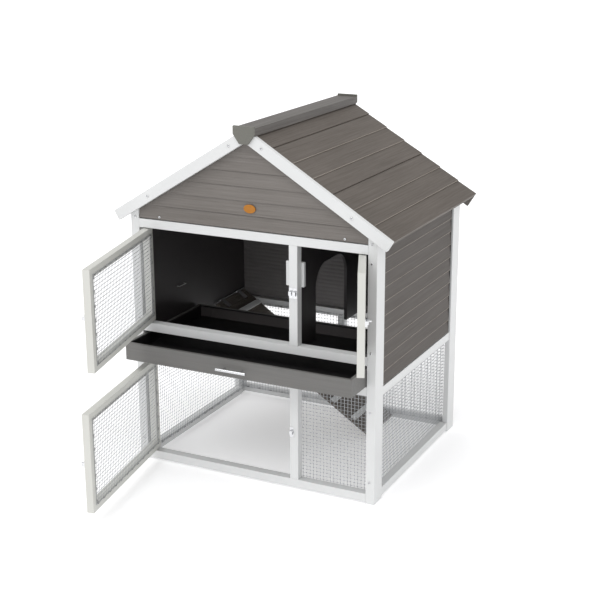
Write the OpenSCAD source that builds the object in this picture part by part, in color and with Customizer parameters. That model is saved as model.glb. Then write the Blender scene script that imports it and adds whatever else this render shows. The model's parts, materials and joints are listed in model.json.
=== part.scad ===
// Rabbit hutch: a wire run below, two rooms above over a pull-out tray, three doors and a ramp.
// Origin at the middle of the footprint on the ground, +Z up, the doors face -Y. Millimetres.

/* [Body] */
// Width over the outer faces of the posts
body_w = 920; // [760:10:1110]
// Depth over the outer faces of the posts
body_d = 766; // [630:10:930]
// Gap under the bottom rails
foot_h = 6; // [2:1:20]
// Clear height of the run's openings
run_h = 349; // [285:1:425]
// Clear height of the tray's slot between its two rails
tray_slot_h = 74; // [66:1:90]
// Clear height of the upper doors' openings
upper_h = 343; // [280:1:420]
// Clear width of the nest room's opening, right of the mullions
nest_w = 250; // [200:1:310]

/* [Frame] */
// Post width, along X
post_w = 32; // [26:1:40]
// Post depth, along Y
post_d = 66; // [55:1:80]
// Height of the rails
rail_h = 30; // [25:1:36]
// Thickness of the rear posts, along X
rear_post_w = 20; // [16:1:30]
// Depth of the front rails and mullions
rail_d = 32; // [28:1:40]
// Width of the mullions
mullion_w = 31; // [30:1:40]
// How far side and rear pieces sit inside the posts' outer faces
inset = 3; // [1:1:6]
// Width of the cleat that holds the partition's front edge
cleat_w = 66; // [50:1:80]
// Thickness of that cleat
cleat_t = 12; // [8:1:18]
// Height of that cleat
cleat_h = 84; // [60:1:120]
// How far the cleat sits left of the mullion's middle
cleat_left = 8.5; // [0:0.5:12]

/* [Wall boards] */
// Height of one lap of the walls
lap = 48; // [40:1:58]
// Laps moulded into one board
laps_per_board = 3; // [2:1:4]
// Thickness of a board at the lower edge of a lap
board_t = 12; // [10:1:14]
// How much a lap thins towards its upper edge
lap_taper = 4; // [2:0.5:6]
// Thickness of the smooth lining behind the side boards
lining_t = 5; // [3:1:8]
// Gap round the boards at the rail below and at the front posts
board_gap = 4; // [2:1:8]
// Gap between the side boards and the rear posts
board_gap_rear = 10; // [2:1:16]

/* [Roof] */
// Slope of the roof, degrees
roof_pitch = 31.6; // [24:0.2:38]
// Height from the front top rail to the roof's underside at the posts' outer faces
eave_rise = 41; // [34:1:60]
// Overhang of the roof beyond the side of the posts
eave_over = 57; // [40:1:90]
// Overhang of the roof behind the rear posts
rear_over = 10; // [8:1:30]
// Thickness of a roof board at the lower edge of a lap
roof_t = 14; // [11:1:18]
// Length of one roof lap, along the slope
roof_lap = 83.3; // [60:0.1:110]
// Depth of the front bargeboards, square to the slope
barge_h = 38; // [30:1:60]
// Thickness of the front bargeboards
barge_t = 18; // [12:1:24]
// Depth of the rear bargeboards below the roof boards
rear_barge_h = 43; // [30:1:60]
// Width of the ridge cap
cap_w = 78; // [60:1:110]
// Wall of the ridge cap
cap_t = 3; // [2:0.5:5]
// Thickness of the plates at the ends of the ridge cap
end_plate_t = 8; // [5:1:12]
// Height of the end plates
end_plate_h = 59; // [50:1:80]

/* [Partition] */
// Thickness of the partition
partition_t = 11; // [8:1:15]
// Distance from the front of the posts to the doorway in the partition
arch_front = 160; // [130:1:190]
// Width of that doorway
arch_w = 254; // [210:1:300]
// Height of that doorway above the partition's lower edge
arch_h = 263; // [220:1:315]
// Radius of the doorway's upper corners
arch_r = 80; // [40:1:100]

/* [Doors] */
// Thickness of the doors
door_t = 24; // [20:1:27]
// Width of the door frame members
door_member = 30; // [28:1:40]
// Gap between a door and its opening
door_gap = 4; // [3:0.5:6]
// Distance from a door's hinge edge to its pivots
pivot_in = 20; // [16:0.5:22]
// Diameter of the pivot pins
pin_d = 5; // [4:0.5:6]
// How deep a pin sits in the rail and in the door
pin_seat = 12; // [8:1:16]
// Opening angle of the upper left door, degrees
upper_left_open = 77; // [0:1:120]
// Opening angle of the lower left door, degrees
lower_left_open = 80; // [0:1:120]
// Opening angle of the upper right door, degrees
upper_right_open = 113; // [0:1:120]
// Thickness of the upper right door's panel at the lower edge of a lap
panel_t = 9; // [7:0.5:12]

/* [Latches] */
// Diameter of the sliding bolts
bolt_d = 5; // [4:0.5:6]
// Travel of the bolts
bolt_travel = 12; // [10:0.5:13]
// Height of the upper latches above the middle of their doors
latch_up_upper = 10; // [-60:1:60]
// Height of the lower latch above the middle of its door
latch_up_lower = -2; // [-60:1:60]

/* [Wire mesh] */
// Spacing of the wires
mesh_pitch = 12.7; // [12.7:12.7:25.4]
// Diameter of the wires
wire_d = 1.5; // [0.8:0.1:2]
// How far the mesh laps over the wood round its opening
mesh_lap = 12; // [8:1:18]

/* [Tray] */
// Depth of the tray, front to back
tray_d = 500; // [420:1:560]
// Height of the tray
tray_h = 62; // [52:1:64]
// How far the tray is pulled out
tray_out = 112; // [0:1:300]
// Thickness of the tray's front
tray_front_t = 12; // [8:1:18]
// Thickness of the tray's sides and back
tray_side_t = 10; // [6:1:14]
// Thickness of the tray's base board
tray_base_t = 10; // [6:1:12]
// Height of the base board above the tray's lower edge
tray_base_up = 7; // [0:1:12]
// Wall of the pan that lines the tray
pan_t = 3; // [2:0.5:4]
// Length of the handle's bar
handle_l = 112; // [90:1:180]
// Diameter of the handle's bar
handle_d = 10; // [8:1:14]
// Spacing of the handle's two posts
handle_span = 66; // [50:1:80]
// Height of the runners under the tray
runner_h = 17.7; // [14:0.1:24]
// Width of the runners
runner_w = 25; // [24:1:40]

/* [Ramp] */
// Thickness of the ramp board
ramp_t = 12; // [9:1:18]
// How much shorter the ramp is than the run's clear width
ramp_end_gap = 72; // [30:1:120]
// Gap between the closed tray's back and the ramp
ramp_tray_gap = 12; // [8:1:30]
// Gap between the ramp and the rear mesh
ramp_mesh_gap = 4.8; // [4:0.1:20]
// Height of the ramp's hinge above the side rails
ramp_hinge_up = 48; // [44:1:60]
// Gap between the ramp's lower edge and the ground
ramp_foot_gap = 8; // [1:0.5:14]
// Width of the rungs
rung_w = 21; // [14:1:30]
// Thickness of the rungs
rung_t = 8; // [4:1:10]
// Spacing of the rungs
rung_pitch = 101.4; // [70:0.1:140]
// Distance from the hinge to the first rung's middle
rung_first = 86; // [60:1:120]
// Gap between the rungs' ends and the ramp's edges
rung_inset = 5; // [2:1:24]
// Diameter of the hinge rod
rod_d = 6; // [4:0.5:6]

/* [Hidden] */

// Colours
white_paint = "#e9e9e6";
taupe = "#857d76";
dark_taupe = "#5b554f";
near_black = "#24221f";
steel = "#c9cbcc";
brass = "#b98a45";

// Clearances
run_fit = 0.05;
slip = 0.3;
wire_gap = 0.1;
joint_line = 0.2;
seam = 1;
tray_lift = 2;
tray_side_gap = 2;
tray_proud = 4;
ridge_gap = 1.2;

// Plan lines
half_w = body_w / 2;
half_d = body_d / 2;
inner_x = half_w - post_w;
inner_y = half_d - post_d;
front_y = -half_d;
rail_back_y = front_y + rail_d;
mullion_x = inner_x - nest_w - mullion_w;
mullion_mid = mullion_x + mullion_w / 2;
side_rail_t = post_w - inset;
rear_out_y = half_d - inset;
rear_rail_y = rear_out_y - side_rail_t;
rear_board_y = rear_out_y - board_t;
rear_post_x = half_w - rear_post_w;
lining_x = rear_post_x - lining_t;

// Heights
bottom_rail_z = foot_h;
run_z = bottom_rail_z + rail_h;
tray_rail_z = run_z + run_h;
tray_slot_z = tray_rail_z + rail_h;
shelf_rail_z = tray_slot_z + tray_slot_h;
upper_z = shelf_rail_z + rail_h;
top_rail_z = upper_z + upper_h;
gable_z = top_rail_z + rail_h;
eave_z = gable_z + eave_rise;
side_top_z = eave_z - rail_h;
tray_z = tray_slot_z + tray_lift;
side_mid_top = tray_z - slip - runner_h;
side_board_z = side_mid_top + board_gap;

// Roof lines: the underside rises from eave_z over the posts' outer faces to the ridge
ridge_under_z = eave_z + half_w * tan(roof_pitch);
ridge_top_z = ridge_under_z + roof_t / cos(roof_pitch);
slope_l = (half_w + eave_over) / cos(roof_pitch) - roof_t * tan(roof_pitch);
slope_start = ridge_gap / cos(roof_pitch);
cap_top_z = ridge_top_z + 4;
cap_low_z = roof_top(cap_w / 2 - cap_t);
end_plate_top_z = cap_top_z + 6;
end_plate_side = 27;
end_plate_foot = 32;
rafter_h = 30;
rafter_t = 20;
gable_first_lap = 3;

// Doors and latches
pivot_y = front_y + door_t / 2;
pivot_x = inner_x - door_gap - pivot_in;
left_opening_w = mullion_x + inner_x;
left_door_w = left_opening_w - 2 * door_gap;
right_door_w = nest_w - 2 * door_gap;
guide_w = 5;
guide_h = 12;
guide_d = bolt_d + 6;
bolt_out = 6;
bolt_l = door_member;
knob_d = 5;
knob_l = 14;
knob_play = 1;
latch_plate = [2 * guide_w + knob_d + bolt_travel + 2 * knob_play, 1.5, 24];
keeper_plate = [14, 1.2, 36];
keeper_block = [10, 10.5, 14];
upper_latch_z = upper_z + upper_h / 2 + latch_up_upper;
lower_latch_z = run_z + run_h / 2 + latch_up_lower;

// Tray and ramp
tray_w = 2 * (inner_x - tray_side_gap);
tray_y = front_y - tray_proud - tray_out;
tray_closed_back = front_y - tray_proud + tray_d;
pan_z = tray_z + tray_base_up + tray_base_t;
handle_gap = 19;
handle_z = tray_z + tray_h / 2 - 1;
strap_w = 24;
strap_l = 44;
strap_r = rod_d / 2 + 2;
ramp_front_y = tray_closed_back + ramp_tray_gap;
ramp_back_y = rear_rail_y - 2 * (wire_d + wire_gap) - ramp_mesh_gap;
ramp_w = ramp_back_y - ramp_front_y;
ramp_axis_x = strap_r + 0.5 - lining_x;
ramp_axis_z = side_mid_top + ramp_hinge_up;
ramp_l = 2 * inner_x - ramp_end_gap;
ramp_top = 3.3;
ramp_end = 6.5;
ramp_below = ramp_t - ramp_top;
ramp_angle = asin((ramp_axis_z - ramp_foot_gap) / norm([ramp_l, ramp_below]))
    - atan(ramp_below / ramp_l);
rung_count = floor((ramp_l - rung_first - rung_w) / rung_pitch) + 1;

$fn = 32;

function roof_under(x) = ridge_under_z - abs(x) * tan(roof_pitch);
function roof_bed(x) = roof_under(x) - run_fit;
function roof_top(x) = ridge_top_z - abs(x) * tan(roof_pitch);

// Outline of one lapped board in [thickness, height]: each lap thins from its lower edge upwards.
function lap_outline(low, high, pitch, thick, taper) = concat(
    [[0, low]],
    [for (z = [low : pitch : high - 0.5])
        let (end = min(high, z + pitch))
        each [[thick, z], [thick - taper * (end - z) / pitch, end]]],
    [[0, high]]
);

// A box from one corner to the opposite one
module block(from, to) {
    translate(from)
        cube(to - from);
}

// A shape drawn in X and Z, made solid from y0 to y1
module along_y(y0, y1) {
    translate([0, y1, 0])
        rotate([90, 0, 0])
            linear_extrude(y1 - y0)
                children();
}

// A piece and its twin on the other side of the hutch
module both_sides() {
    children();
    mirror([1, 0, 0])
        children();
}

// Boards one above the other, drawn in [thickness, height]; first is the height of the lowest board
module board_stack(low, high, pitch, thick, taper, first) {
    starts = concat([low], [for (z = [low + first : pitch * laps_per_board : high - 1]) z]);
    for (i = [0 : len(starts) - 1])
        let (end = i < len(starts) - 1 ? starts[i + 1] - seam : high)
            stack_slice(starts[i], end, pitch, thick, taper)
                children();
}

module stack_slice(low, high, pitch, thick, taper) {
    intersection() {
        rotate([90, 0, 0])
            linear_extrude(2 * body_w, center = true)
                polygon(lap_outline(low, high, pitch, thick, taper));
        children();
    }
}

// ---- Frame ----

// A right-hand post of width w that starts at y0; its top follows the roof's underside
module post(w, y0) {
    x0 = half_w - w;
    color(white_paint)
        along_y(y0, y0 + post_d)
            polygon([[x0, 0], [half_w, 0], [half_w, roof_bed(half_w)], [x0, roof_bed(x0)]]);
}

module post_front_left() {
    mirror([1, 0, 0])
        post(post_w, -half_d);
}

module post_front_right() {
    post(post_w, -half_d);
}

module post_rear_left() {
    mirror([1, 0, 0])
        post(rear_post_w, inner_y);
}

module post_rear_right() {
    post(rear_post_w, inner_y);
}

// A front rail with seats for the pivot pins: sides is a list of pin positions along X
module front_rail(z, pins_up, pins_down) {
    color(white_paint)
        difference() {
            block([-inner_x, front_y, z], [inner_x, rail_back_y, z + rail_h]);
            for (x = pins_up)
                translate([x, pivot_y, z + rail_h - pin_seat])
                    cylinder(h = pin_seat + 1, d = pin_d);
            for (x = pins_down)
                translate([x, pivot_y, z - 1])
                    cylinder(h = pin_seat + 1, d = pin_d);
        }
}

module front_bottom_rail() {
    front_rail(bottom_rail_z, [-pivot_x], []);
}

module front_tray_rail() {
    front_rail(tray_rail_z, [], [-pivot_x]);
}

module front_shelf_rail() {
    front_rail(shelf_rail_z, [-pivot_x, pivot_x], []);
}

module front_top_rail() {
    front_rail(top_rail_z, [], [-pivot_x, pivot_x]);
}

module mullion(z, h) {
    color(white_paint)
        block([mullion_x, front_y, z], [mullion_x + mullion_w, rail_back_y, z + h]);
}

module lower_mullion() {
    mullion(run_z, run_h);
}

module upper_mullion() {
    mullion(upper_z, upper_h);
}

// Block behind the upper mullion that the partition is fixed to
module partition_cleat() {
    top = top_rail_z - 63;
    color(white_paint)
        block([mullion_mid - cleat_left - cleat_w / 2, rail_back_y, top - cleat_h],
            [mullion_mid - cleat_left + cleat_w / 2, rail_back_y + cleat_t, top]);
}

module side_rail(z) {
    color(white_paint)
        both_sides()
            block([inner_x, -inner_y, z], [inner_x + side_rail_t, inner_y, z + rail_h]);
}

module side_bottom_rails() {
    side_rail(bottom_rail_z);
}

module side_mid_rails() {
    side_rail(side_mid_top - rail_h);
}

// The top rails are cut to the slope of the roof
module side_top_rails() {
    outer = inner_x + side_rail_t;
    color(white_paint)
        both_sides()
            along_y(-inner_y, inner_y)
                polygon([[inner_x, side_top_z], [outer, side_top_z],
                    [outer, roof_bed(outer)], [inner_x, roof_bed(inner_x)]]);
}

// Three rear rails and the stile that halves the run's rear opening
module rear_frame() {
    color(white_paint) {
        for (rail = [[rear_post_x, bottom_rail_z], [lining_x, tray_rail_z]])
            block([-rail[0], rear_rail_y, rail[1]], [rail[0], rear_out_y, rail[1] + rail_h]);
        block([-lining_x, rear_rail_y, top_rail_z], [lining_x, rear_board_y, gable_z]);
        block([-rail_h / 2, rear_rail_y, run_z + joint_line],
            [rail_h / 2, rear_out_y, tray_rail_z - joint_line]);
    }
}

// ---- Walls and gables ----

// Lapped boards on one side wall
module side_boards() {
    translate([half_w - inset - board_t, 0, 0])
        board_stack(side_board_z, side_top_z, lap, board_t, lap_taper, laps_per_board * lap)
            block([-1, -inner_y + board_gap, 0],
                [board_t + 1, inner_y - board_gap_rear, side_top_z + 1]);
}

module wall_boards_right() {
    color(taupe)
        side_boards();
}

module wall_boards_left() {
    color(taupe)
        mirror([1, 0, 0])
            side_boards();
}

// Lapped boards that face the rear, cut to a shape drawn in X and Z
module rear_facing_boards(low, high, first) {
    translate([0, rear_board_y, 0])
        rotate([0, 0, 90])
            board_stack(low, high, lap, board_t, lap_taper, first)
                rotate([0, 0, -90])
                    along_y(-1, board_t + 1)
                        children();
}

module wall_boards_rear() {
    color(taupe)
        rear_facing_boards(tray_slot_z, gable_z, laps_per_board * lap)
            translate([-rear_post_x, 0])
                square([2 * rear_post_x, gable_z + 1]);
}

// The gable between posts whose inner faces are at x and -x, up to the roof's underside
module gable_outline(x) {
    polygon([[-x, gable_z], [x, gable_z], [x, roof_bed(x)], [0, roof_bed(0)], [-x, roof_bed(x)]]);
}

module gable_boards_rear() {
    color(taupe)
        rear_facing_boards(gable_z + gable_first_lap, ridge_under_z, lap)
            gable_outline(rear_post_x);
}

module gable_boards_front() {
    color(taupe)
        rotate([0, 0, 180])
            rear_facing_boards(gable_z + gable_first_lap, ridge_under_z, lap)
                gable_outline(inner_x);
}

// Smooth panels behind the side boards, which run past the rear posts to the rear boards
module wall_linings() {
    color(near_black)
        both_sides()
            block([lining_x, -inner_y, side_mid_top], [rear_post_x, rear_board_y, side_top_z]);
}

// Sloping battens inside both gables, under the roof boards
module gable_rafters() {
    rise = rafter_h / cos(roof_pitch);
    mitre = joint_line / 2;
    color(white_paint)
        for (end = [[-rear_board_y, inner_x], [rear_board_y - rafter_t, rear_post_x]])
            let (y = end[0], x = end[1])
                both_sides()
                    along_y(y, y + rafter_t)
                        polygon([[mitre, roof_bed(mitre)], [x, roof_bed(x)],
                            [x, roof_bed(x) - rise], [mitre, roof_bed(mitre) - rise]]);
}

// ---- Roof ----

// Places [distance down the slope, height above the underside] on the right slope, in X and Z
module on_slope() {
    translate([0, ridge_under_z])
        rotate(-roof_pitch)
            children();
}

// Boards counted from the eave upwards; the one at the ridge is cut to fit
module roof_half() {
    along_y(front_y, half_d + rear_over)
        on_slope()
            for (low = [0 : roof_lap * laps_per_board : slope_l - slope_start - 1])
                let (high = min(slope_l - slope_start, low + roof_lap * laps_per_board - seam))
                    translate([slope_l, 0])
                        rotate(90)
                            polygon(lap_outline(low, high, roof_lap, roof_t, lap_taper - 1));
}

module roof_boards_right() {
    color(taupe)
        roof_half();
}

module roof_boards_left() {
    color(taupe)
        mirror([1, 0, 0])
            roof_half();
}

// One bargeboard: top and low are heights above the roof boards' underside, square to the slope
module bargeboard(top, low) {
    intersection() {
        on_slope()
            translate([-body_w, low])
                square([body_w + slope_l, top - low]);
        translate([joint_line / 2, 0])
            square([body_w, 2 * ridge_top_z]);
    }
}

module bargeboards_front() {
    color(white_paint)
        both_sides()
            along_y(front_y - barge_t, front_y)
                bargeboard(roof_t, roof_t - barge_h);
}

module bargeboards_rear() {
    color(taupe)
        both_sides()
            along_y(half_d, half_d + rear_over)
                bargeboard(0, -rear_barge_h);
}

// Upside-down channel over the gap between the two slopes
module ridge_cap() {
    color(dark_taupe)
        along_y(front_y - barge_t, half_d + rear_over)
            difference() {
                translate([-cap_w / 2, cap_low_z])
                    square([cap_w, cap_top_z - cap_low_z]);
                translate([-cap_w / 2 + cap_t, cap_low_z - 1])
                    square([cap_w - 2 * cap_t, cap_top_z - cap_t - cap_low_z + 1]);
            }
}

module end_plate(y) {
    side_z = end_plate_top_z - end_plate_side;
    low_z = end_plate_top_z - end_plate_h;
    along_y(y, y + end_plate_t)
        polygon([[-cap_w / 2, end_plate_top_z], [-cap_w / 2, side_z], [-end_plate_foot / 2, low_z],
            [end_plate_foot / 2, low_z], [cap_w / 2, side_z], [cap_w / 2, end_plate_top_z]]);
}

module ridge_end_plates() {
    color(dark_taupe) {
        end_plate(front_y - barge_t - end_plate_t);
        end_plate(half_d + rear_over);
    }
}

// ---- Inside ----

// Partition between the two rooms, with an arched doorway that is open at the bottom
module partition() {
    front = rail_back_y + cleat_t;
    arch_y = front_y + arch_front;
    arch_top = shelf_rail_z + arch_h;
    color(near_black)
        difference() {
            block([mullion_mid - partition_t / 2, front, shelf_rail_z],
                [mullion_mid + partition_t / 2, rear_board_y, gable_z]);
            block([mullion_x, rear_rail_y, top_rail_z], [mullion_x + mullion_w, half_d, gable_z + 1]);
            block([mullion_x, arch_y, 0], [mullion_x + mullion_w, arch_y + arch_w, arch_top - arch_r]);
            block([mullion_x, arch_y + arch_r, 0],
                [mullion_x + mullion_w, arch_y + arch_w - arch_r, arch_top]);
            for (y = [arch_y + arch_r, arch_y + arch_w - arch_r])
                translate([mullion_x, y, arch_top - arch_r])
                    rotate([0, 90, 0])
                        cylinder(h = mullion_w, r = arch_r, $fn = 96);
        }
}

// Strips on the side rails that carry the tray
module tray_runners() {
    color(white_paint)
        both_sides()
            block([lining_x - runner_w, -inner_y, side_mid_top],
                [lining_x, tray_closed_back, side_mid_top + runner_h]);
}

// ---- Wire mesh ----

// Welded mesh from the origin along X and Z; the upright wires lie next to the plane y = 0
module mesh(w, h) {
    across = floor((w - wire_d) / mesh_pitch);
    up = floor((h - wire_d) / mesh_pitch);
    x0 = (w - across * mesh_pitch) / 2;
    z0 = (h - up * mesh_pitch) / 2;
    for (i = [0 : across])
        translate([x0 + i * mesh_pitch, wire_gap + wire_d / 2, 0])
            cylinder(h = h, d = wire_d);
    for (i = [0 : up])
        translate([0, 2 * wire_gap + 1.5 * wire_d, z0 + i * mesh_pitch])
            rotate([0, 90, 0])
                cylinder(h = w, d = wire_d);
}

// Mesh inside the side rails, from the front post back to the rear mesh
module mesh_side() {
    rear_y = rear_rail_y - 2 * (wire_d + wire_gap) - 1;
    translate([inner_x, -inner_y - mesh_lap, run_z - mesh_lap])
        rotate([0, 0, 90])
            mesh(rear_y + inner_y + mesh_lap, side_mid_top - rail_h - run_z + 2 * mesh_lap);
}

module mesh_right() {
    color(steel)
        mesh_side();
}

module mesh_left() {
    color(steel)
        mirror([1, 0, 0])
            mesh_side();
}

module mesh_rear() {
    color(steel)
        translate([rear_post_x - 1, rear_rail_y, run_z - mesh_lap])
            rotate([0, 0, 180])
                mesh(2 * rear_post_x - 2, run_h + 2 * mesh_lap);
}

module mesh_front() {
    color(steel)
        translate([mullion_x + mullion_w - mesh_lap, rail_back_y, run_z - mesh_lap])
            mesh(nest_w + mesh_lap - 1, run_h + 2 * mesh_lap);
}

// ---- Doors ----

// Door frames are drawn with the pivots on the Z axis, the free edge towards +X and the front at -Y
module on_left_pivots(angle) {
    translate([-pivot_x, pivot_y, 0])
        rotate([0, 0, -angle])
            children();
}

module on_right_pivots(angle) {
    translate([pivot_x, pivot_y, 0])
        rotate([0, 0, angle])
            mirror([1, 0, 0])
                children();
}

// Two stiles and two rails, with bores for the pivot pins in the hinge stile
module door_frame(w, low, high) {
    free = w - pivot_in;
    color(white_paint) {
        difference() {
            block([-pivot_in, -door_t / 2, low], [door_member - pivot_in, door_t / 2, high]);
            for (z = [low - 1, high - pin_seat - 1])
                translate([0, 0, z])
                    cylinder(h = pin_seat + 2, d = pin_d + 2 * run_fit);
        }
        block([free - door_member, -door_t / 2, low], [free, door_t / 2, high]);
        for (z = [low, high - door_member])
            block([door_member - pivot_in + joint_line, -door_t / 2, z],
                [free - door_member - joint_line, door_t / 2, z + door_member]);
    }
}

// Mesh on the inner face of a door
module door_mesh(w, low, high) {
    edge = door_member - mesh_lap;
    color(steel)
        translate([edge - pivot_in, door_t / 2, low + edge])
            mesh(w - 2 * edge, high - low - 2 * edge);
}

// Plate with two guides that carry the sliding bolt
module latch(w, z) {
    x0 = w - pivot_in - latch_plate[0];
    face = -door_t / 2;
    color(steel) {
        translate([x0, face - latch_plate[1], z - latch_plate[2] / 2])
            cube(latch_plate);
        for (x = [x0, x0 + latch_plate[0] - guide_w])
            difference() {
                block([x, face - guide_d, z - guide_h / 2],
                    [x + guide_w, face - latch_plate[1], z + guide_h / 2]);
                translate([x - 1, face - bolt_out, z])
                    rotate([0, 90, 0])
                        cylinder(h = guide_w + 2, d = bolt_d + 2 * run_fit);
            }
    }
}

// Sliding bolt with its knob, drawn back
module bolt(w, z) {
    tip = w - pivot_in - 0.5;
    knob_x = w - pivot_in - latch_plate[0] + guide_w + knob_play + knob_d / 2;
    color(steel)
        translate([0, -door_t / 2 - bolt_out, z]) {
            translate([tip - bolt_l, 0, 0])
                rotate([0, 90, 0])
                    cylinder(h = bolt_l, d = bolt_d);
            translate([knob_x, 0, 0])
                rotate([90, 0, 0])
                    cylinder(h = knob_l, d = knob_d);
        }
}

module upper_left_frame() {
    on_left_pivots(upper_left_open)
        door_frame(left_door_w, upper_z + door_gap, top_rail_z - door_gap);
}

module upper_left_mesh() {
    on_left_pivots(upper_left_open)
        door_mesh(left_door_w, upper_z + door_gap, top_rail_z - door_gap);
}

module upper_left_latch() {
    on_left_pivots(upper_left_open)
        latch(left_door_w, upper_latch_z);
}

module upper_left_bolt() {
    on_left_pivots(upper_left_open)
        bolt(left_door_w, upper_latch_z);
}

module lower_left_frame() {
    on_left_pivots(lower_left_open)
        door_frame(left_door_w, run_z + door_gap, tray_rail_z - door_gap);
}

module lower_left_mesh() {
    on_left_pivots(lower_left_open)
        door_mesh(left_door_w, run_z + door_gap, tray_rail_z - door_gap);
}

module lower_left_latch() {
    on_left_pivots(lower_left_open)
        latch(left_door_w, lower_latch_z);
}

module lower_left_bolt() {
    on_left_pivots(lower_left_open)
        bolt(left_door_w, lower_latch_z);
}

module upper_right_frame() {
    on_right_pivots(upper_right_open)
        door_frame(right_door_w, upper_z + door_gap, top_rail_z - door_gap);
}

// Lapped boards that fill the upper right door, in the middle of its frame's thickness
module upper_right_panel() {
    low = upper_z + door_gap + door_member;
    high = top_rail_z - door_gap - door_member;
    left = door_member - pivot_in;
    right = right_door_w - pivot_in - door_member;
    color(taupe)
        on_right_pivots(upper_right_open)
            translate([0, panel_t / 2, 0])
                rotate([0, 0, -90])
                    board_stack(low, high, lap, panel_t, lap_taper, laps_per_board * lap)
                        rotate([0, 0, 90])
                            block([left, -panel_t - 1, low], [right, 1, high]);
}

module upper_right_latch() {
    on_right_pivots(upper_right_open)
        latch(right_door_w, upper_latch_z);
}

module upper_right_bolt() {
    on_right_pivots(upper_right_open)
        bolt(right_door_w, upper_latch_z);
}

// Pins between the rails and the doors
module pivot_pins() {
    pin_l = 2 * pin_seat + door_gap - 1;
    upright = [[-pivot_x, run_z], [-pivot_x, upper_z], [pivot_x, upper_z]];
    hanging = [[-pivot_x, tray_rail_z], [-pivot_x, top_rail_z], [pivot_x, top_rail_z]];
    color(steel) {
        for (p = upright)
            translate([p[0], pivot_y, p[1] - pin_seat])
                cylinder(h = pin_l, d = pin_d);
        for (p = hanging)
            translate([p[0], pivot_y, p[1] + pin_seat - pin_l])
                cylinder(h = pin_l, d = pin_d);
    }
}

// Screwed plate with a bored block that takes a bolt's tip
module keeper(x, z) {
    color(steel)
        translate([x, front_y, z]) {
            translate([-keeper_plate[0] / 2, -keeper_plate[1], -keeper_plate[2] / 2])
                cube(keeper_plate);
            difference() {
                translate([-keeper_block[0] / 2, -keeper_block[1], -keeper_block[2] / 2])
                    cube(keeper_block);
                translate([-keeper_block[0] / 2 - 1, -bolt_out, 0])
                    rotate([0, 90, 0])
                        cylinder(h = keeper_block[0] + 2, d = bolt_d + 1);
            }
        }
}

module latch_keepers() {
    step = keeper_plate[0] / 2 + 0.5;
    keeper(mullion_mid - step, upper_latch_z);
    keeper(mullion_mid + step, upper_latch_z);
    keeper(mullion_mid - step, lower_latch_z);
}

// ---- Small hardware ----

module screw_head(x, y, z) {
    translate([x, y, z])
        rotate([90, 0, 0])
            cylinder(h = 1.2, d = 7);
}

module frame_screws() {
    post_heights = [bottom_rail_z + 73, tray_rail_z - 59, upper_z + 15, top_rail_z - 29, gable_z + 5];
    slope_run = [60, 378];
    color(steel)
        both_sides() {
            for (z = post_heights)
                screw_head(half_w - 18, front_y, z);
            for (x = slope_run)
                screw_head(x, front_y - barge_t, roof_top(x) - 0.5 * barge_h / cos(roof_pitch));
            screw_head(inner_x - 82, front_y + inset, gable_z + 11);
        }
}

// Plain oval plate on the front gable
module badge_plate() {
    color(brass)
        translate([4, front_y + inset, gable_z + 75])
            rotate([90, 0, 0])
                linear_extrude(2)
                    scale([22, 14.5])
                        circle(r = 1, $fn = 48);
}

// Wire loop on the left lining, for a bottle or a rack
module wall_loop() {
    loop_l = 46;
    loop_out = 10;
    wire = 2.5;
    z = upper_z + 65;
    y = front_y + 243;
    color(steel)
        translate([-lining_x, y, z]) {
            for (dy = [0, loop_l])
                translate([0, dy, 0])
                    rotate([0, 90, 0])
                        cylinder(h = loop_out, d = wire);
            translate([loop_out, -wire / 2, 0])
                rotate([-90, 0, 0])
                    cylinder(h = loop_l + wire, d = wire);
        }
}

// ---- Tray ----

module tray_front() {
    color(taupe)
        block([-tray_w / 2, tray_y, tray_z], [tray_w / 2, tray_y + tray_front_t, tray_z + tray_h]);
}

// Two sides and the back
module tray_sides() {
    back = tray_y + tray_d;
    color(taupe) {
        both_sides()
            block([tray_w / 2 - tray_side_t, tray_y + tray_front_t, tray_z],
                [tray_w / 2, back, tray_z + tray_h]);
        block([-tray_w / 2 + tray_side_t + joint_line, back - tray_side_t, tray_z],
            [tray_w / 2 - tray_side_t - joint_line, back, tray_z + tray_h]);
    }
}

module tray_base() {
    color(taupe)
        block([-tray_w / 2 + tray_side_t, tray_y + tray_front_t, tray_z + tray_base_up],
            [tray_w / 2 - tray_side_t, tray_y + tray_d - tray_side_t, pan_z]);
}

// Open pan that lines the tray
module tray_pan() {
    low = [-tray_w / 2 + tray_side_t, tray_y + tray_front_t, pan_z];
    high = [tray_w / 2 - tray_side_t, tray_y + tray_d - tray_side_t, tray_z + tray_h - 3];
    wall = [pan_t, pan_t, pan_t];
    color(near_black)
        difference() {
            block(low, high);
            block(low + wall, high + [-pan_t, -pan_t, 1]);
        }
}

// Bar handle on two posts
module tray_handle() {
    post_d = handle_d - 3;
    color(steel)
        translate([0, tray_y, handle_z]) {
            for (x = [-handle_span / 2, handle_span / 2])
                translate([x, 0, 0])
                    rotate([90, 0, 0])
                        cylinder(h = handle_gap + handle_d / 2, d = post_d);
            translate([-handle_l / 2, -handle_gap - handle_d / 2, 0])
                rotate([0, 90, 0])
                    cylinder(h = handle_l, d = handle_d);
        }
}

// ---- Ramp ----

// Drawn from the hinge axis: +X runs down the ramp, +Z is square to its upper face
module on_ramp() {
    translate([ramp_axis_x, 0, ramp_axis_z])
        rotate([0, ramp_angle, 0])
            children();
}

module ramp_board() {
    color(taupe)
        on_ramp()
            block([ramp_end, ramp_front_y, -ramp_below], [ramp_l, ramp_back_y, ramp_top]);
}

module ramp_rungs() {
    color(white_paint)
        on_ramp()
            for (i = [0 : rung_count - 1])
                translate([rung_first + i * rung_pitch - rung_w / 2, ramp_front_y + rung_inset, ramp_top])
                    cube([rung_w, ramp_w - 2 * rung_inset, rung_t]);
}

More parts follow.
